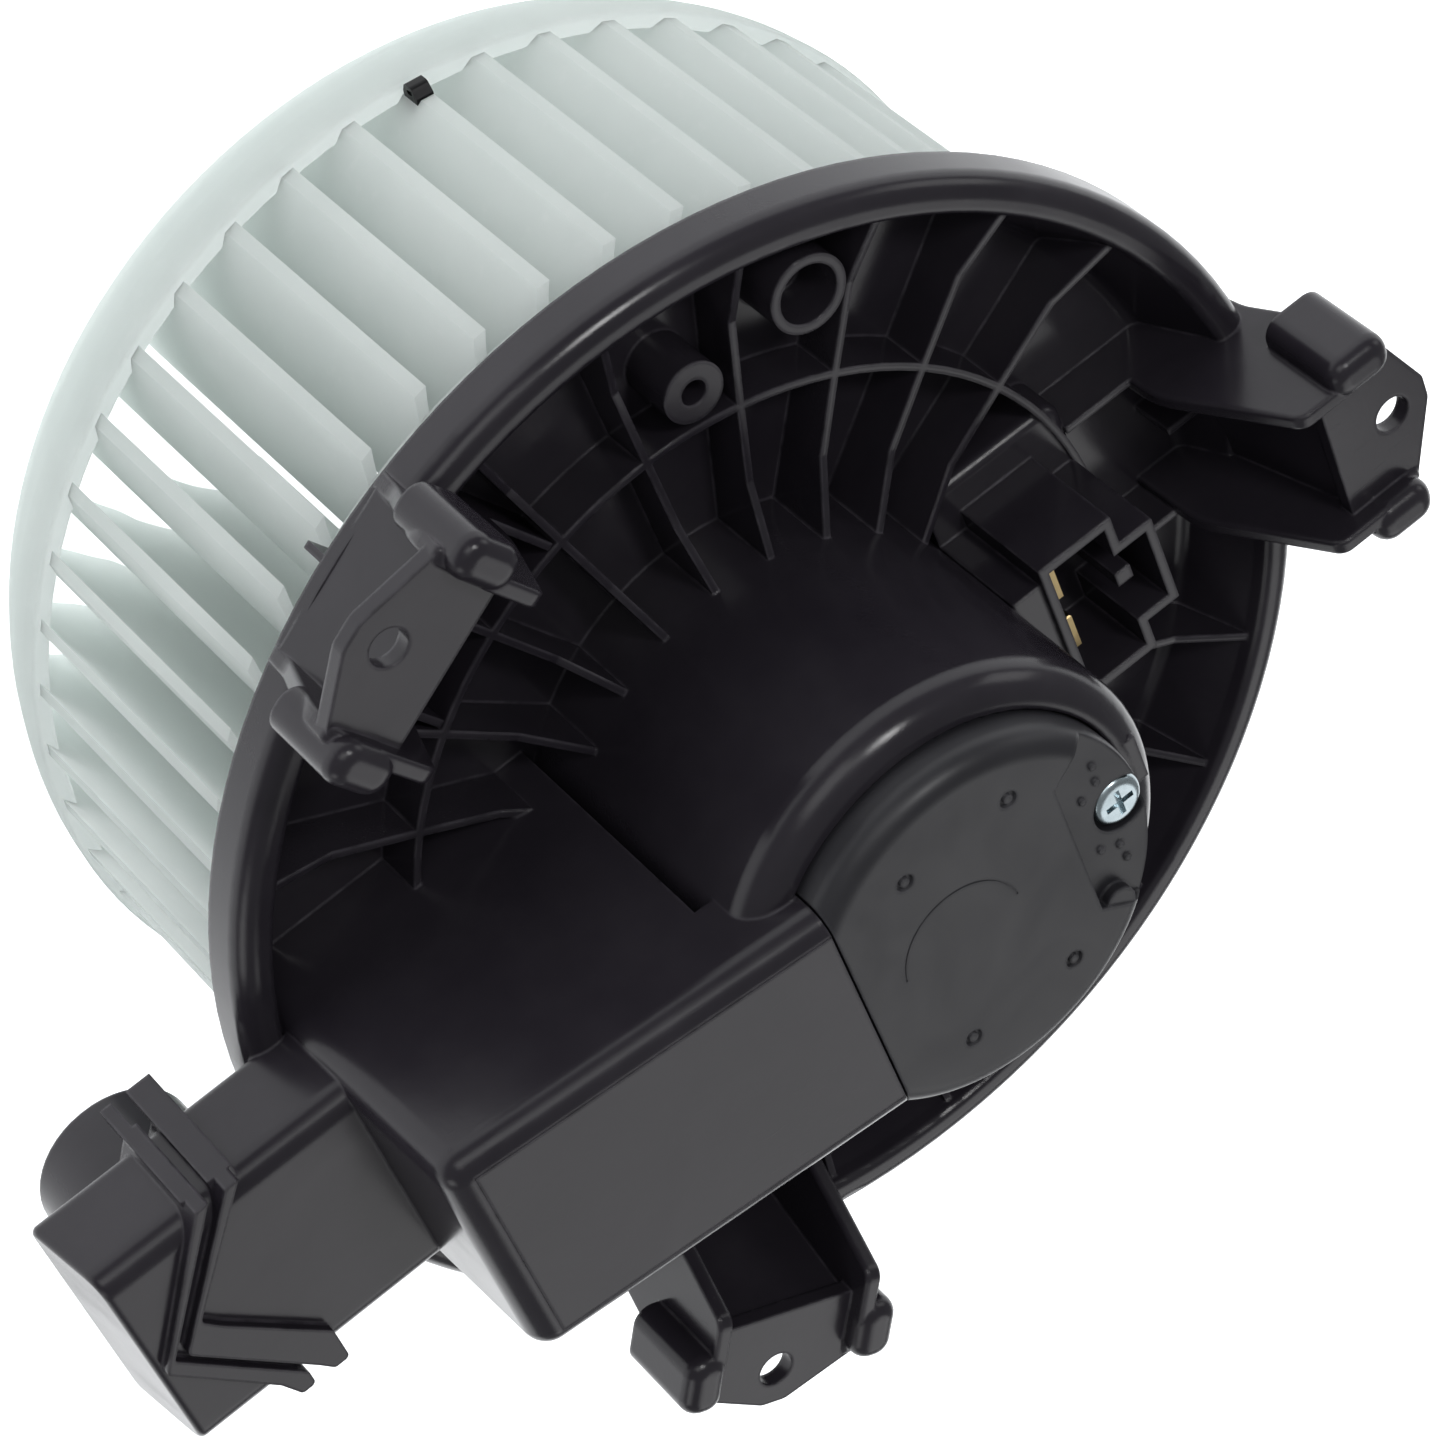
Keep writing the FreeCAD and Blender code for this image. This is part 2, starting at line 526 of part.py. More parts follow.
def bush(low):
    """Plain sintered bearing."""
    return turned([(BUSH_BORE, low, 0.3), (BUSH_R, low, 0.6), (BUSH_R, low + BUSH_LENGTH, 0.6),
                   (BUSH_BORE, low + BUSH_LENGTH, 0.3)])


LOWER_BUSH_LOW = CAN_BOTTOM - 3.5
UPPER_BUSH_LOW = END_PLATE_LOW - 0.9


def bush_retainers():
    """Two toothed spring washers that hold the bushes in their housings."""
    rings = []
    for low in (CAN_BOTTOM + CAN_WALL, END_PLATE_LOW - 0.6):
        ring = turned([(BUSH_R, low), (12.5, low), (12.5, low + 0.6), (BUSH_R, low + 0.6)])
        slots = [spun(block(BUSH_R - 1, 10.0, -0.6, 0.6, low - 1, low + 2), 45 * i) for i in range(8)]
        rings.append(ring.cut(slots))
    return Part.makeCompound(rings)


MAGNET_SPAN = 130.0
MAGNET_LOW = -17.0
MAGNET_HIGH = 12.0


def sector(inner, outer, low, high, span):
    """Part of a tube centred on the +X side."""
    half = radians(span / 2)
    a, b = V(inner * cos(half), -inner * sin(half), low), V(outer * cos(half), -outer * sin(half), low)
    c, d = V(b.x, -b.y, low), V(a.x, -a.y, low)
    wire = Part.Wire([Part.LineSegment(a, b).toShape(), Part.Arc(b, V(outer, 0, low), c).toShape(),
                      Part.LineSegment(c, d).toShape(), Part.Arc(d, V(inner, 0, low), a).toShape()])
    return Part.Face(wire).extrude(V(0, 0, high - low))


def field_magnets():
    """Two ferrite arcs against the can's wall."""
    magnet = sector(MAGNET_INNER_R, CAN_R - CAN_WALL, MAGNET_LOW, MAGNET_HIGH, MAGNET_SPAN)
    return Part.makeCompound([magnet, spun(magnet, 180)])


def magnet_clips():
    """Two bent spring strips that press the magnets apart."""
    inner, outer = MAGNET_INNER_R + 1.0, CAN_R - CAN_WALL
    span = 180.0 - MAGNET_SPAN
    strip = sector(outer - 0.7, outer, MAGNET_LOW + 4, MAGNET_HIGH - 4, span)
    leg = block(inner, outer, -0.35, 0.35, MAGNET_LOW + 4, MAGNET_HIGH - 4)
    legs = []
    for side in (-1, 1):
        moved = leg.copy()
        moved.translate(V(0, -side * 0.35, 0))
        legs.append(spun(moved, side * span / 2))
    clip = joined([strip] + legs)
    return Part.makeCompound([spun(clip, 90), spun(clip, -90)])


BRUSH_LOW = 20.0
BRUSH_HIGH = 26.0
BRUSH_HALF = 2.6
COMMUTATOR_R = 7.5
BRUSH_END = 16.0
HOLDER_END = 22.0


def brush_card(leads):
    """Plastic plate with a box under each side that guides a brush."""
    card = turned([(9.5, CARD_LOW), (CAN_R - CAN_WALL - 0.3, CARD_LOW),
                   (CAN_R - CAN_WALL - 0.3, CARD_LOW + CARD_THICK), (9.5, CARD_LOW + CARD_THICK)])
    wall = 1.2
    box = block(10.0, HOLDER_END, -BRUSH_HALF - wall, BRUSH_HALF + wall, BRUSH_LOW - wall, CARD_LOW)
    room = block(9.0, HOLDER_END - wall, -BRUSH_HALF, BRUSH_HALF, BRUSH_LOW, BRUSH_HIGH)
    holder = box.cut(room)
    vents = [spun(drum(2.5, CARD_LOW - 1, CARD_LOW + 5, 19.0), angle) for angle in (50, 130, -50, -130)]
    return card.cut(vents).fuse([holder, spun(holder, 180)]).cut(leads).removeSplitter()


def brushes():
    """Two carbon blocks hollowed to the commutator's curve."""
    block_shape = block(COMMUTATOR_R - 1, BRUSH_END, -BRUSH_HALF, BRUSH_HALF, BRUSH_LOW, BRUSH_HIGH)
    block_shape = block_shape.cut(drum(COMMUTATOR_R + 0.05, BRUSH_LOW - 1, BRUSH_HIGH + 1))
    return Part.makeCompound([block_shape, spun(block_shape, 180)])


def brush_springs():
    """Two compression springs behind the brushes, each a stack of joined round turns."""
    wire, coil, turns = 0.35, 1.7, 5
    room = HOLDER_END - 1.2 - BRUSH_END
    pitch = (room - 2 * wire) / turns
    helix = Part.makeHelix(pitch, pitch * turns, coil)
    ring = Part.Wire([Part.makeCircle(wire, V(coil, 0, 0), V(0, 1, 0))])
    spring = Part.Wire(helix).makePipeShell([ring], True, True)
    spring.rotate(V(0, 0, 0), V(0, 1, 0), 90)
    spring.translate(V(BRUSH_END + wire, 0, (BRUSH_LOW + BRUSH_HIGH) / 2))
    return Part.makeCompound([spring, spun(spring, 180)])


def choke_coils():
    """Two wound ferrite rods lying on the brush card."""
    centre = CARD_LOW + CARD_THICK + 2.6
    profile = [(0, -7.0), (1.4, -7.0), (1.4, -5.6)]
    for i in range(8):
        low = -5.6 + 1.4 * i
        profile += [(1.9, low), (2.5, low + 0.35, 0.2), (2.5, low + 1.05, 0.2)]
    profile += [(1.9, 5.6), (1.4, 5.6), (1.4, 7.0), (0, 7.0)]
    coil = turned(profile)
    coil.rotate(V(0, 0, 0), V(0, 1, 0), 90)
    coils = []
    for side in (-1, 1):
        copy = coil.copy()
        copy.translate(V(0, side * 15.0, centre))
        coils.append(copy)
    return Part.makeCompound(coils)


def isolator(low, high):
    """Rubber ring between the can and the tower."""
    return turned([(CAN_R, low, 0.5), (TOWER_BORE, low, 0.8), (TOWER_BORE, high, 0.8), (CAN_R, high, 0.5)])


# ---- rotor ----
def motor_shaft():
    """Ground steel shaft with chamfered ends."""
    shaft = drum(SHAFT_R, SHAFT_LOW, SHAFT_HIGH)
    return shaft.makeChamfer(0.5, [e for e in shaft.Edges if e.BoundBox.ZLength < 0.01])


SLOTS = 12


def armature_core():
    """Laminated iron stack with narrow-mouthed winding slots."""
    core = drum(ARMATURE_R, CORE_LOW, CORE_HIGH).cut(drum(SHAFT_R, CORE_LOW - 1, CORE_HIGH + 1))
    cuts = []
    for i in range(SLOTS):
        room = block(9.5, 16.8, -1.7, 1.7, CORE_LOW - 1, CORE_HIGH + 1)
        mouth = block(16.0, 20.0, -0.8, 0.8, CORE_LOW - 1, CORE_HIGH + 1)
        cuts += [spun(room, i * 360 / SLOTS), spun(mouth, i * 360 / SLOTS)]
    return core.cut(cuts)


def armature_windings():
    """Copper coils: bars in the slots and a domed bundle at each end of the core."""
    parts = []
    for low, high in ((CORE_LOW - 5.0, CORE_LOW), (CORE_HIGH, CORE_HIGH + 3.6)):
        parts.append(turned([(5.5, low, 1.5), (16.6, low, 1.5), (16.6, high, 1.5), (5.5, high, 1.5)]))
    for i in range(SLOTS):
        parts.append(spun(block(9.7, 16.0, -1.5, 1.5, CORE_LOW - 1.5, CORE_HIGH + 1.5), i * 360 / SLOTS))
    return joined(parts)


def commutator():
    """Copper segments on a sleeve, with a riser collar."""
    low, high = CORE_HIGH + 4.6, 28.5
    body = turned([(SHAFT_R, low), (8.8, low), (8.8, low + 2), (COMMUTATOR_R, low + 2),
                   (COMMUTATOR_R, high, 0.4), (SHAFT_R, high)])
    slits = [spun(block(6.3, 10.0, -0.2, 0.2, low - 1, high + 1), i * 360 / SLOTS + 15) for i in range(SLOTS)]
    return body.cut(slits)


def thrust_washers():
    """Two washers on the shaft, just clear of the bushes' inner faces."""
    rings = []
    for low in (LOWER_BUSH_LOW + BUSH_LENGTH + 0.2, UPPER_BUSH_LOW - 1.0):
        rings.append(turned([(SHAFT_R, low), (5.4, low), (5.4, low + 0.8), (SHAFT_R, low + 0.8)]))
    return Part.makeCompound(rings)


# ---- wheel ----
FIRST_TIP = 0.2           # azimuth of one blade's tip, degrees
CLIP_BLADE = -13          # the blade that carries the balance clip, counted from the first
CLIP_LOW = -59.9
CLIP_HIGH = -56.5


def wheel_hub():
    """Sleeve on the shaft and the stepped cone that carries the blades."""
    return turned([(SHAFT_R, -46.0), (8.0, -46.0, 0.8), (9.0, -40.5, 1.0), (24.0, -36.0, 12.0), (34.0, -30.0),
                   (50.0, -20.0), (66.0, -12.6, 20.0), (76.4, -10.4), (76.4, -8.4), (66.0, -10.6, 20.0),
                   (50.0, -17.9), (34.0, -27.8), (24.0, -33.8, 12.0), (9.0, -37.4, 1.0), (9.0, -34.5),
                   (SHAFT_R, -34.5)])


def wheel_ring():
    """Tapering band round the blades' inlet ends, with a rolled lip."""
    return turned([(RING_OUT_R, RING_TOP, 0.6), (78.4, -66.0, 20.0), (76.0, -72.8, 12.0), (73.6, WHEEL_BOTTOM, 1.3),
                   (70.6, WHEEL_BOTTOM, 1.2), (73.2, -71.5, 12.0), (76.4, RING_TOP, 0.6)])


def blade_angle(distance):
    """Angle on a blade's mid-line arc where it is this far from the motor axis."""
    out = hypot(*BLADE_ARC_AT)
    cosine = (distance ** 2 - out ** 2 - BLADE_ARC_R ** 2) / (2 * out * BLADE_ARC_R)
    return atan2(BLADE_ARC_AT[1], BLADE_ARC_AT[0]) + acos(cosine)


def blade_points(radius):
    """Start, middle and end of a blade's arc at one offset from its mid-line, in plan."""
    first = blade_angle(BLADE_TIP_R + 0.8)
    last = blade_angle(BLADE_INNER_R)
    cx, cy = BLADE_ARC_AT
    return [V(cx + radius * cos(t), cy + radius * sin(t), 0) for t in (first, (first + last) / 2, last)]


def wheel_blades(hub, ring):
    """All blades: curved strips trimmed to the wheel's radial outline, between the hub and the ring."""
    a = blade_points(BLADE_ARC_R - BLADE_THICK / 2)
    b = blade_points(BLADE_ARC_R + BLADE_THICK / 2)
    strip = Part.Face(Part.Wire([Part.Arc(*a).toShape(), Part.LineSegment(a[2], b[2]).toShape(),
                                 Part.Arc(*b[::-1]).toShape(), Part.LineSegment(b[0], a[0]).toShape()]))
    strip.translate(V(0, 0, WHEEL_BOTTOM))
    strip = strip.extrude(V(0, 0, -WHEEL_BOTTOM))
    trim = turned([(BLADE_INNER_R, -20.1), (50.0, -18.9), (66.0, -11.6), (75.6, -9.4), (BLADE_TIP_R, -12.4),
                   (BLADE_TIP_R, RING_TOP - 0.5), (72.6, -75.6), (64.5, -76.4, 2.0), (59.5, -74.2, 3.0),
                   (57.9, -71.4, 2.0), (53.2, -67.3, 4.0), (50.2, -65.4, 3.0), (BLADE_INNER_R, -62.0, 3.0)])
    blade = strip.common(trim).cut([hub, ring])
    return Part.makeCompound([spun(blade, FIRST_TIP + i * 360 / BLADES) for i in range(BLADES)])


def wheel_nut():
    """Push-on retainer under the hub sleeve."""
    return turned([(SHAFT_R, -47.0), (4.6, -48.4), (7.6, -47.0), (7.6, -46.0), (SHAFT_R, -46.0)])


def balance_clip(blades):
    """Small looped spring clip pushed over one blade's outer edge beside the ring."""
    x = BLADE_TIP_R
    clip = across([(x - 2.5, CLIP_LOW), (x + 0.4, CLIP_LOW), (x + 1.8, CLIP_LOW + 0.7, 0.5),
                   (x + 1.8, CLIP_HIGH - 1.0, 0.8), (x + 0.4, CLIP_HIGH), (x - 2.5, CLIP_HIGH)], -1.1, 1.6)
    eye = across([(x + 0.4, CLIP_LOW + 1.1, 0.3), (x + 1.1, CLIP_LOW + 1.1, 0.3),
                  (x + 1.1, CLIP_HIGH - 1.0, 0.3), (x + 0.4, CLIP_HIGH - 1.0, 0.3)], -2.0, 2.5)
    clip = spun(clip.cut(eye), FIRST_TIP + CLIP_BLADE * 360 / BLADES)
    return max(clip.cut(blades).Solids, key=lambda s: s.Volume)


# ---- output ----
def save(name, shape):
    """Write one node, lowered so that the ear seats are at height zero."""
    moved = shape.copy()
    moved.translate(V(0, 0, -SEAT_UP))
    moved.exportStep(os.path.join("parts", name + ".step"))
    box = moved.BoundBox
    print("%-22s solids %d valid %s volume %.0f  z %.1f..%.1f" %
          (name, len(moved.Solids), moved.isValid(), moved.Volume, box.ZMin, box.ZMax))


def main():
    os.makedirs("parts", exist_ok=True)
    terminals = connector_terminals()
    leads = motor_leads()
    hub = wheel_hub()
    ring = wheel_ring()
    blades = wheel_blades(hub, ring)
    nodes = {
        "flange_housing": flange_housing([terminals, leads]),
        "motor_cap": motor_cap(),
        "duct_lid": duct_lid(),
        "cap_screw": cap_screw(),
        "connector_terminals": terminals,
        "motor_leads": leads,
        "motor_can": motor_can(leads),
        "can_end_plate": can_end_plate(),
        "lower_bush": bush(LOWER_BUSH_LOW),
        "upper_bush": bush(UPPER_BUSH_LOW),
        "bush_retainers": bush_retainers(),
        "field_magnets": field_magnets(),
        "magnet_clips": magnet_clips(),
        "brush_card": brush_card(leads),
        "brushes": brushes(),
        "brush_springs": brush_springs(),
        "choke_coils": choke_coils(),
        "lower_isolator": isolator(TOWER_BOTTOM + 2, -8.0),
        "upper_isolator": isolator(28.5, CAP_SEAT - 1.5),
        "motor_shaft": motor_shaft(),
        "armature_core": armature_core(),
        "armature_windings": armature_windings(),
        "commutator": commutator(),
        "thrust_washers": thrust_washers(),
        "wheel_hub": hub,
        "wheel_blades": blades,
        "wheel_ring": ring,
        "wheel_nut": wheel_nut(),
        "balance_clip": balance_clip(blades),
    }
    for name, shape in nodes.items():
        save(name, shape)


main()
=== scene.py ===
"""Vehicle heater blower: finishes, floor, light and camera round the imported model."""
import bpy
from mathutils import Matrix, Vector


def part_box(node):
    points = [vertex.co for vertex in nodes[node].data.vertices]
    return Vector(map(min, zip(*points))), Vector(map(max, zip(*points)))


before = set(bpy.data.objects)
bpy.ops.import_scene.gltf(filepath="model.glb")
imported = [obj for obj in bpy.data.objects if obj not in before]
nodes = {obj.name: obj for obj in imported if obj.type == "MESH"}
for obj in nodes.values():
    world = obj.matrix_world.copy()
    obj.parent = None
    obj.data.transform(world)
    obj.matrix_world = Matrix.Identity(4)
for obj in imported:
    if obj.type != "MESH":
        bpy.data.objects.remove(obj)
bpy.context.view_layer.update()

# ---- reference view ----
CAMERA_PLACE = Vector((0.1485, -0.5111, 0.4424))
CAMERA_RIGHT = Vector((-0.773066, 0.296396, 0.560820))
CAMERA_UP = Vector((-0.600267, -0.627640, -0.495730))
SENSOR = 36.0                # millimetres, both ways
LENS = 130.1                 # millimetres
NEAR = 0.05                  # metres; nothing is drawn nearer than this
FAR = 20.0

# ---- studio ----
MIDDLE = Vector((0.0, 0.0, -0.02))      # the point that every light faces
FLOOR_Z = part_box("wheel_ring")[0].z
FLOOR_HALF = 6.0             # metres from the middle to each side of the floor
FLOOR_GLOW = 0.95
SKY_COLOUR = (0.96, 0.98, 1.0, 1.0)
SKY_STRENGTH = 0.32
LIGHTS = (                   # name, direction from the object, distance and width in metres, watts
    ("key_light", (-0.24, -0.63, 0.74), 1.3, 0.22, 4.6),
    ("back_light", (-0.10, 0.78, 0.63), 1.5, 0.95, 4.2),
    ("fill_light", (0.21, -0.74, 0.64), 1.0, 0.45, 1.4),
    ("left_light", (-0.95, -0.25, 0.35), 1.3, 0.45, 1.2),
    ("right_light", (0.9, 0.25, 0.40), 1.4, 0.5, 1.6),
)

# ---- plastics ----
EDGE_RADIUS = 0.0007         # metres; how far moulded edges look rounded
PLASTIC_IOR = 1.36
WHEEL_IOR = 1.49
WHEEL_GLOW_SHARE = 0.76      # part of the wheel's light that comes through the plastic

PLASTICS = {                 # dark and light colour, lowest and highest roughness
    "housing_plastic": ((0.0150, 0.0130, 0.0172), (0.0215, 0.0190, 0.0240), 0.15, 0.26),
    "cap_plastic": ((0.0175, 0.0170, 0.0200), (0.0240, 0.0235, 0.0270), 0.34, 0.48),
}

# ---- metals and dull materials ----
TURNED = (1.0, 1.0, 40.0)    # brushing drawn out round the motor's axis
METALS = {                   # the same four values, then the brushing where it isn't the usual one
    "spring_steel": ((0.22, 0.22, 0.23), (0.50, 0.51, 0.52), 0.25, 0.42),
    "plated_can": ((0.42, 0.43, 0.40), (0.66, 0.67, 0.66), 0.28, 0.45),
    "zinc_screw": ((0.22, 0.27, 0.29), (0.46, 0.53, 0.56), 0.20, 0.34, (1.0, 1.0, 6.0), 500.0),
    "brass_terminal": ((0.16, 0.12, 0.06), (0.34, 0.26, 0.13), 0.25, 0.4),
    "ground_steel": ((0.45, 0.45, 0.46), (0.68, 0.69, 0.70), 0.16, 0.3, TURNED),
    "turned_copper": ((0.42, 0.20, 0.10), (0.78, 0.42, 0.26), 0.2, 0.35, TURNED),
    "black_steel": ((0.015, 0.015, 0.016), (0.03, 0.03, 0.03), 0.35, 0.5),
}
MATTES = {                   # dark and light colour, roughness, grains per metre, grain depth in metres
    "sintered_bronze": ((0.30, 0.19, 0.09), (0.46, 0.31, 0.16), 0.5, 3000.0, 0.00004),
    "soft_rubber": ((0.018, 0.018, 0.018), (0.03, 0.03, 0.03), 0.75, 1500.0, 0.00005),
    "lead_insulation": ((0.03, 0.03, 0.03), (0.045, 0.045, 0.045), 0.45, 800.0, 0.00003),
    "ferrite": ((0.05, 0.05, 0.055), (0.09, 0.09, 0.095), 0.6, 1800.0, 0.00006),
    "phenolic_card": ((0.10, 0.06, 0.03), (0.16, 0.10, 0.05), 0.5, 900.0, 0.00004),
    "carbon": ((0.02, 0.02, 0.02), (0.05, 0.05, 0.05), 0.55, 2500.0, 0.00005),
    "acetal": ((0.62, 0.58, 0.46), (0.74, 0.70, 0.58), 0.45, 900.0, 0.00003),
}

FINISH_OF = {                # CAD node: its finish
    "flange_housing": "housing_plastic",
    "motor_cap": "cap_plastic",
    "duct_lid": "housing_plastic",
    "cap_screw": "zinc_screw",
    "connector_terminals": "brass_terminal",
    "motor_leads": "lead_insulation",
    "motor_can": "plated_can",
    "can_end_plate": "plated_can",
    "lower_bush": "sintered_bronze",
    "upper_bush": "sintered_bronze",
    "bush_retainers": "spring_steel",
    "field_magnets": "ferrite",
    "magnet_clips": "spring_steel",
    "brush_card": "phenolic_card",
    "brushes": "carbon",
    "brush_springs": "spring_steel",
    "choke_coils": "enamelled_copper",
    "lower_isolator": "soft_rubber",
    "upper_isolator": "soft_rubber",
    "motor_shaft": "ground_steel",
    "armature_core": "laminated_iron",
    "armature_windings": "enamelled_copper",
    "commutator": "turned_copper",
    "thrust_washers": "acetal",
    "wheel_hub": "natural_polypropylene",
    "wheel_blades": "natural_polypropylene",
    "wheel_ring": "natural_polypropylene",
    "wheel_nut": "spring_steel",
    "balance_clip": "black_steel",
}

# A colour Mix node's own sockets; its sockets for other kinds of value have the same names
MIX_FACTOR, MIX_FIRST, MIX_SECOND, MIX_RESULT = 0, 6, 7, 2


# ---- camera, floor and light ----
def place_camera():
    """Camera that looks down at the cap, rolled over so that the wheel is up and to the left."""
    data = bpy.data.cameras.new("view_camera")
    data.sensor_width = SENSOR
    data.sensor_height = SENSOR
    data.lens = LENS
    data.clip_start = NEAR
    data.clip_end = FAR
    camera = bpy.data.objects.new("view_camera", data)
    bpy.context.scene.collection.objects.link(camera)
    back = CAMERA_RIGHT.cross(CAMERA_UP)
    turn = Matrix((CAMERA_RIGHT, CAMERA_UP, back)).transposed()
    camera.matrix_world = Matrix.Translation(CAMERA_PLACE) @ turn.to_4x4()
    bpy.context.scene.camera = camera


def lay_floor():
    """Plain pale floor under the wheel's lip."""
    mesh = bpy.data.meshes.new("floor")
    signs = ((-1, -1), (1, -1), (1, 1), (-1, 1))
    corners = [(x * FLOOR_HALF, y * FLOOR_HALF, FLOOR_Z) for x, y in signs]
    mesh.from_pydata(corners, [], [(0, 1, 2, 3)])
    floor = bpy.data.objects.new("floor", mesh)
    bpy.context.scene.collection.objects.link(floor)
    mesh.materials.append(floor_finish())


def soft_light(name, direction, distance, size, power):
    """Square area light that faces the object from one direction."""
    data = bpy.data.lights.new(name, "AREA")
    data.shape = "SQUARE"
    data.size = size
    data.energy = power
    light = bpy.data.objects.new(name, data)
    away = Vector(direction).normalized()
    light.location = MIDDLE + away * distance
    light.rotation_euler = away.to_track_quat("Z", "Y").to_euler()
    bpy.context.scene.collection.objects.link(light)


def light_room():
    """Pale even surroundings, a key and a fill near the camera, and panels behind and at the sides."""
    world = bpy.data.worlds.new("studio")
    world.use_nodes = True
    sky = world.node_tree.nodes["Background"]
    sky.inputs["Color"].default_value = SKY_COLOUR
    sky.inputs["Strength"].default_value = SKY_STRENGTH
    scene = bpy.context.scene
    scene.world = world
    scene.view_settings.view_transform = "Standard"
    for light in LIGHTS:
        soft_light(*light)


# ---- finishes ----
class Finish:
    """A Principled material with helpers for the textures that vary it."""

    def __init__(self, name, colour, roughness, **settings):
        self.material = bpy.data.materials.new(name)
        self.material.use_nodes = True
        self.tree = self.material.node_tree
        self.shader = self.tree.nodes["Principled BSDF"]
        self.shader.inputs["Base Color"].default_value = (*colour, 1.0)
        self.shader.inputs["Roughness"].default_value = roughness
        for key, value in settings.items():
            self.shader.inputs[key.replace("_", " ")].default_value = value
        self.place = self.tree.nodes.new("ShaderNodeTexCoord").outputs["Object"]
        self.normal = None

    def node(self, kind, **inputs):
        """New node with plain values set on its inputs by name."""
        new = self.tree.nodes.new(kind)
        for key, value in inputs.items():
            new.inputs[key.replace("_", " ")].default_value = value
        return new

    def link(self, start, end):
        self.tree.links.new(start, end)

    def stretched(self, scale):
        """Object coordinates scaled along each axis."""
        mapping = self.node("ShaderNodeMapping", Scale=scale)
        self.link(self.place, mapping.inputs["Vector"])
        return mapping.outputs["Vector"]

    def noise(self, scale, detail=3.0, roughness=0.5, place=None, distortion=0.0):
        """Cloudy value from 0 to 1; scale is in patches per metre."""
        new = self.node("ShaderNodeTexNoise", Scale=scale, Detail=detail, Roughness=roughness,
                        Distortion=distortion)
        self.link(place or self.place, new.inputs["Vector"])
        return new.outputs["Fac"]

    def ramp(self, value, low, high, low_out=0.0, high_out=1.0):
        """Value rescaled from low..high to low_out..high_out and clamped."""
        new = self.node("ShaderNodeMapRange", From_Min=low, From_Max=high,
                        To_Min=low_out, To_Max=high_out)
        self.link(value, new.inputs["Value"])
        return new.outputs["Result"]

    def mix(self, factor, first, second):
        """Colour between two colours or colour sockets."""
        new = self.tree.nodes.new("ShaderNodeMix")
        new.data_type = "RGBA"
        self.link(factor, new.inputs[MIX_FACTOR])
        for index, colour in ((MIX_FIRST, first), (MIX_SECOND, second)):
            socket = new.inputs[index]
            if isinstance(colour, tuple):
                socket.default_value = (*colour, 1.0)
            else:
                self.link(colour, socket)
        return new.outputs[MIX_RESULT]

    def product(self, first, second):
        new = self.tree.nodes.new("ShaderNodeMath")
        new.operation = "MULTIPLY"
        self.link(first, new.inputs[0])
        self.link(second, new.inputs[1])
        return new.outputs[0]

    def colour(self, value):
        self.link(value, self.shader.inputs["Base Color"])

    def rough(self, value):
        self.link(value, self.shader.inputs["Roughness"])

    def soften_edges(self, radius):
        """Shades sharp edges as if rounded by a radius in metres; gives 1 on an edge, 0 away from it."""
        bevel = self.node("ShaderNodeBevel", Radius=radius)
        self.normal = bevel.outputs["Normal"]
        flat = self.tree.nodes.new("ShaderNodeNewGeometry").outputs["Normal"]
        along = self.tree.nodes.new("ShaderNodeVectorMath")
        along.operation = "DOT_PRODUCT"
        self.link(self.normal, along.inputs[0])
        self.link(flat, along.inputs[1])
        return self.ramp(along.outputs["Value"], 0.995, 0.80)

    def bump(self, height, strength, depth):
        """Adds relief of one depth in metres on top of the relief added before."""
        new = self.node("ShaderNodeBump", Strength=strength, Distance=depth)
        self.link(height, new.inputs["Height"])
        if self.normal is not None:
            self.link(self.normal, new.inputs["Normal"])
        self.normal = new.outputs["Normal"]
        self.link(self.normal, self.shader.inputs["Normal"])


def floor_finish():
    """White studio sweep that glows a little, so that it stays white in the object's shade."""
    f = Finish("pale_floor", (0.9, 0.9, 0.9), 0.7)
    tint = f.mix(f.noise(3.0), (0.92, 0.925, 0.93), (0.95, 0.955, 0.96))
    f.colour(tint)
    f.shader.inputs["Emission Color"].default_value = (0.97, 0.985, 1.0, 1.0)
    f.shader.inputs["Emission Strength"].default_value = FLOOR_GLOW
    return f.material


def moulded_plastic(name, dark, light, rough_low, rough_high):
    """Black moulding: spark grain, flow marks, cloudy gloss, dust, rub marks and soft edges painted
    lighter, partly as wear and partly as a painted highlight.
    """
    f = Finish(name, dark, rough_low, IOR=PLASTIC_IOR)
    edges = f.soften_edges(EDGE_RADIUS)
    clouds = f.noise(38.0, detail=5.0, roughness=0.62)
    flow = f.noise(55.0, detail=4.0, place=f.stretched((1.0, 1.0, 0.18)), distortion=1.2)
    base = f.mix(f.ramp(clouds, 0.35, 0.7), dark, light)
    dust = f.ramp(f.noise(1100.0, detail=6.0, roughness=0.8), 0.70, 0.80, 0.0, 0.30)
    # Edges painted lighter: partly rubbed wear, partly a painted highlight along the rounded edges.
    wear_and_painted_highlight = f.product(edges, f.ramp(f.noise(300.0), 0.3, 0.6))
    worn_and_highlight_colour = tuple(2.2 * c + 0.012 for c in light)
    dust_colour = tuple(2.0 * c + 0.015 for c in light)
    f.colour(f.mix(dust, f.mix(wear_and_painted_highlight, base, worn_and_highlight_colour), dust_colour))
    f.rough(f.ramp(f.product(clouds, flow), 0.12, 0.42, rough_low, rough_high))
    f.bump(flow, 0.25, 0.00012)
    f.bump(f.noise(2600.0, detail=2.0), 0.35, 0.00002)
    scratches = f.noise(210.0, detail=2.0, place=f.stretched((1.0, 14.0, 5.0)))
    f.bump(f.ramp(scratches, 0.66, 0.70), 0.12, 0.00003)
    return f.material


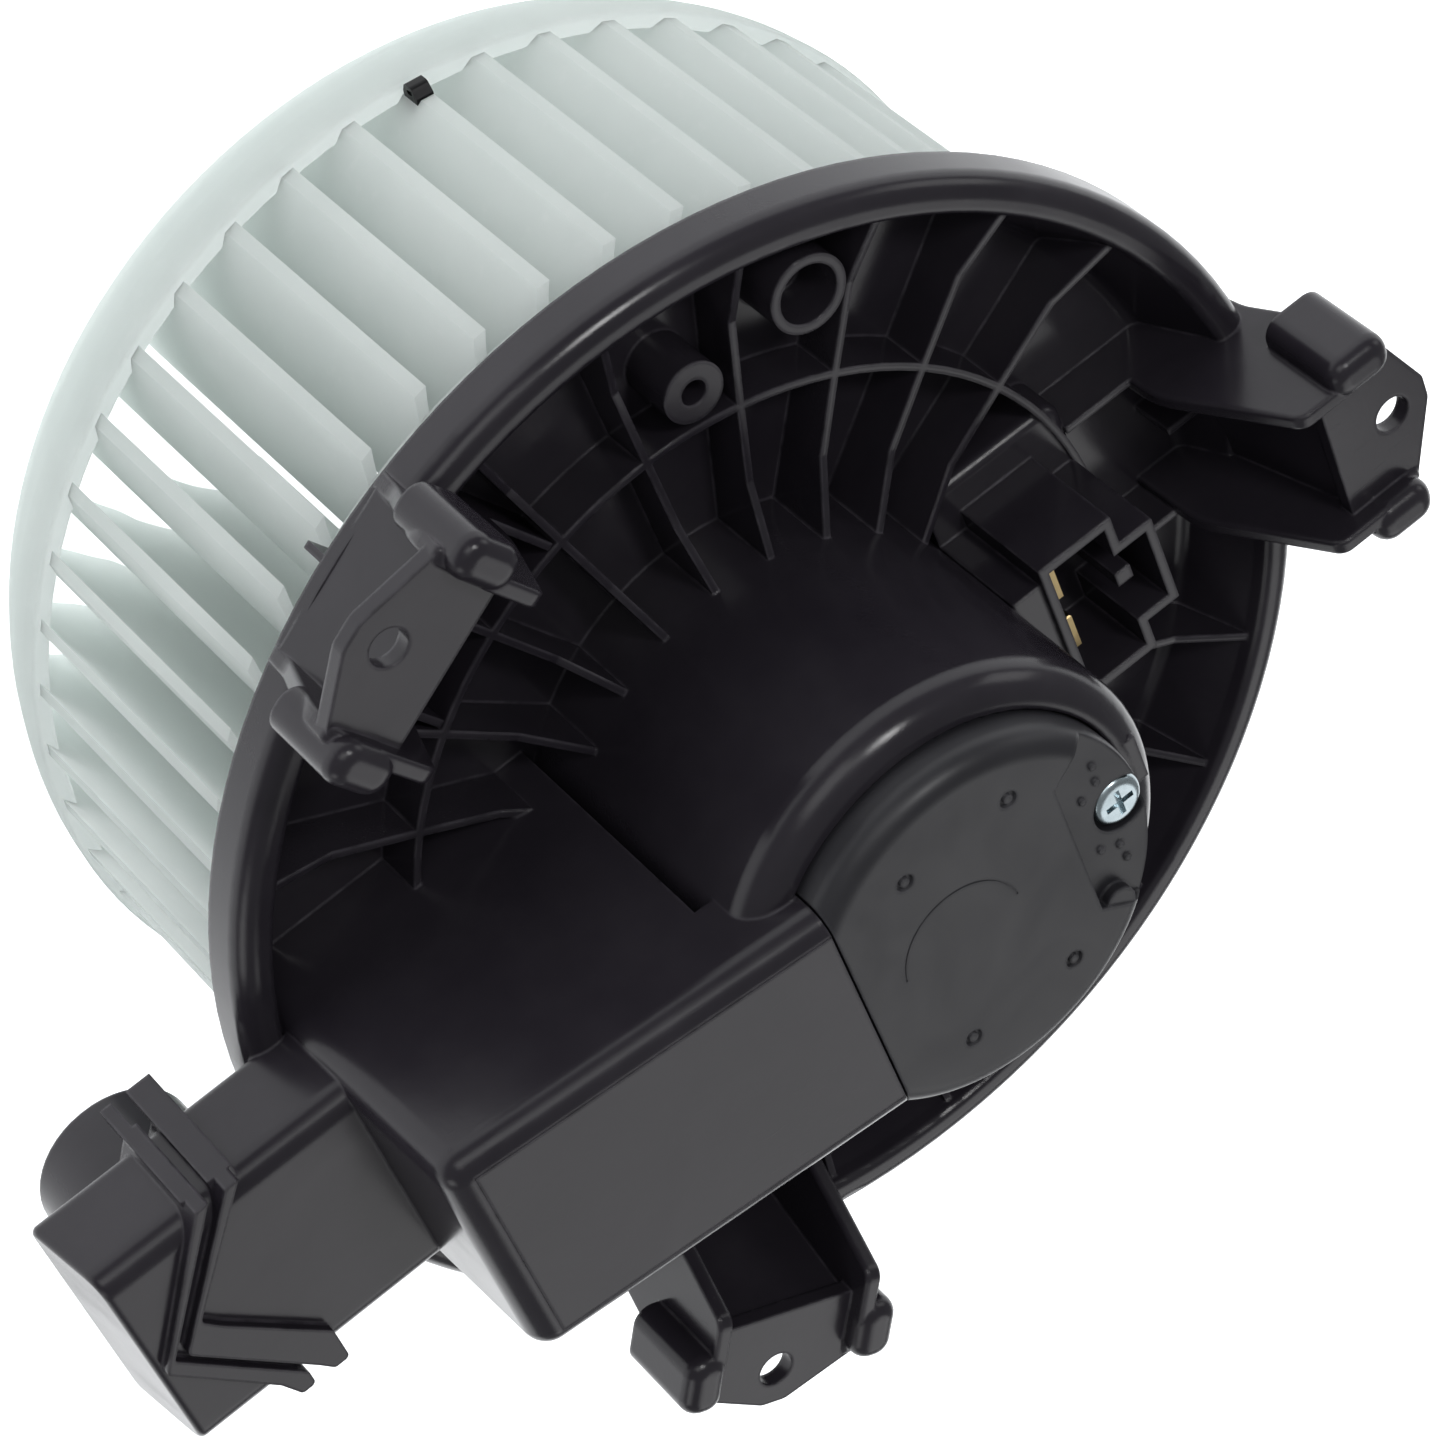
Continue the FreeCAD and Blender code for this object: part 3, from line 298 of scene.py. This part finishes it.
def wheel_plastic():
    """Milky translucent moulding: clouded colour, soft gloss and faint flow lines."""
    f = Finish("natural_polypropylene", (0.8, 0.84, 0.82), 0.38, IOR=WHEEL_IOR)
    clouds = f.noise(26.0, detail=4.0, roughness=0.6)
    fine = f.noise(420.0, detail=3.0)
    tint = f.mix(f.ramp(clouds, 0.3, 0.7), (0.85, 0.877, 0.866), (0.89, 0.91, 0.90))
    tint = f.mix(f.ramp(fine, 0.62, 0.75, 0.0, 0.4), tint, (0.92, 0.93, 0.925))
    f.colour(tint)
    f.rough(f.ramp(clouds, 0.3, 0.7, 0.30, 0.46))
    f.bump(f.noise(90.0, detail=3.0, place=f.stretched((1.0, 1.0, 0.15))), 0.3, 0.00015)
    f.bump(fine, 0.2, 0.00004)
    glow = f.tree.nodes.new("ShaderNodeBsdfTranslucent")
    f.link(tint, glow.inputs["Color"])
    both = f.tree.nodes.new("ShaderNodeMixShader")
    both.inputs["Fac"].default_value = WHEEL_GLOW_SHARE
    f.link(f.shader.outputs[0], both.inputs[1])
    f.link(glow.outputs[0], both.inputs[2])
    f.link(both.outputs[0], f.tree.nodes["Material Output"].inputs["Surface"])
    return f.material


def metal(name, dark, light, rough_low, rough_high, brush=(1.0, 1.0, 30.0), brush_scale=60.0):
    """Metal with brushing along one direction and cloudy tarnish."""
    f = Finish(name, light, rough_low, Metallic=1.0)
    lines = f.noise(brush_scale, detail=5.0, roughness=0.7, place=f.stretched(brush))
    tarnish = f.noise(70.0, detail=5.0, roughness=0.65)
    f.colour(f.mix(f.ramp(tarnish, 0.35, 0.75), light, dark))
    f.rough(f.ramp(lines, 0.3, 0.7, rough_low, rough_high))
    f.bump(lines, 0.2, 0.00003)
    return f.material


def matte(name, dark, light, roughness, grain, depth):
    """Dull material with mottled colour and a fine grain."""
    f = Finish(name, dark, roughness)
    mottle = f.noise(grain * 0.2, detail=4.0, roughness=0.6)
    f.colour(f.mix(f.ramp(mottle, 0.35, 0.68), dark, light))
    f.rough(f.ramp(mottle, 0.3, 0.7, roughness - 0.08, roughness + 0.08))
    f.bump(f.noise(grain, detail=3.0), 0.5, depth)
    return f.material


def wound_copper():
    """Enamelled wire lying side by side."""
    f = Finish("enamelled_copper", (0.6, 0.25, 0.1), 0.3, Metallic=1.0)
    wave = f.node("ShaderNodeTexWave", Scale=300.0, Distortion=3.0, Detail=2.0, Detail_Scale=2.0)
    f.link(f.place, wave.inputs["Vector"])
    turns = wave.outputs["Fac"]
    f.colour(f.mix(turns, (0.32, 0.10, 0.04), (0.78, 0.36, 0.16)))
    f.bump(turns, 0.8, 0.0002)
    return f.material


def stacked_iron():
    """Thin varnished laminations, one above the other."""
    f = Finish("laminated_iron", (0.25, 0.25, 0.26), 0.5, Metallic=1.0)
    wave = f.node("ShaderNodeTexWave", Scale=320.0)
    wave.bands_direction = "Z"
    f.link(f.place, wave.inputs["Vector"])
    sheets = wave.outputs["Fac"]
    f.colour(f.mix(sheets, (0.12, 0.11, 0.11), (0.36, 0.36, 0.37)))
    f.bump(sheets, 0.6, 0.0001)
    return f.material


def finish_nodes():
    """Gives every CAD node its finish."""
    made = {
        "natural_polypropylene": wheel_plastic(),
        "enamelled_copper": wound_copper(),
        "laminated_iron": stacked_iron(),
    }
    for table, make in ((PLASTICS, moulded_plastic), (METALS, metal), (MATTES, matte)):
        for name, values in table.items():
            made[name] = make(name, *values)
    for node, finish in FINISH_OF.items():
        mesh = nodes[node].data
        mesh.materials.clear()
        mesh.materials.append(made[finish])


place_camera()
lay_floor()
light_room()
finish_nodes()
